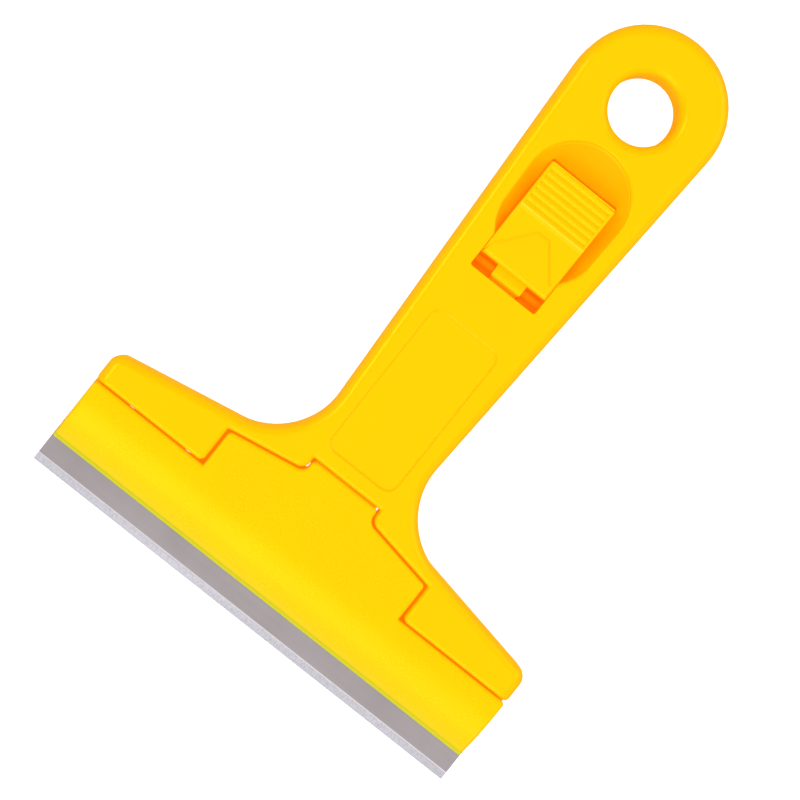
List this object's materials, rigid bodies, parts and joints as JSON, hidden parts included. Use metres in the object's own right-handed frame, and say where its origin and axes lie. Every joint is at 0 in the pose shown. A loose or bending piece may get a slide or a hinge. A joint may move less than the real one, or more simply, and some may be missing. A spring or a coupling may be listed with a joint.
{
  "type": "cleaning scraper",
  "caption": "T-shaped plastic hand scraper with a wide steel blade held by a spring clamp jaw, a press tab that opens the jaw, and a hanging hole.",
  "frame": {"origin": "on the flat back, below the middle of the tool's length and width", "axes": "+X along the blade's edge, +Y up the handle to the hanging hole, +Z out of the front face; the tool lies on its back"},
  "size_m": [0.1, 0.1412, 0.0127],
  "materials": {
    "handle_plastic": "satin moulded yellow plastic",
    "jaw_plastic": "satin moulded yellow plastic",
    "tab_plastic": "satin moulded yellow plastic",
    "blade_steel": "rolled carbon steel with a ground edge",
    "pin_steel": "drawn wire",
    "spring_steel": "drawn spring wire",
    "screw_steel": "zinc plated"
  },
  "bodies": {
    "handle": {"handle_front_shell": "handle_plastic", "handle_back_shell": "handle_plastic", "jaw_pivot_pin": "pin_steel", "tab_hinge_pin": "pin_steel", "clamp_spring": "spring_steel", "wing_screw_left": "screw_steel", "wing_screw_right": "screw_steel", "neck_screw_left": "screw_steel", "neck_screw_right": "screw_steel", "end_screw": "screw_steel"},
    "jaw": {"clamp_jaw": "jaw_plastic"},
    "tab": {"press_tab": "tab_plastic"},
    "cutter": {"blade": "blade_steel"}
  },
  "joints": [
    {"name": "jaw_open", "type": "hinge", "parent": "handle", "child": "jaw", "pos_m": [0, -0.03313, 0.0074], "axis": [-1, 0, 0], "range_deg": [0, 2.4], "stiffness_Nm_per_rad": 0.5, "springref_deg": -6.3, "deforming": ["clamp_spring"]},
    {"name": "tab_press", "type": "hinge", "parent": "handle", "child": "tab", "pos_m": [0, 0.01238, 0.0092], "axis": [-1, 0, 0], "range_deg": [0, 8]},
    {"name": "blade_slide", "type": "slide", "parent": "handle", "child": "cutter", "axis": [0, -1, 0], "range_m": [0, 0.02]}
  ],
  "couplings": [
    {"joint": "tab_press", "follows": "jaw_open", "ratio": 3.3333}
  ]
}
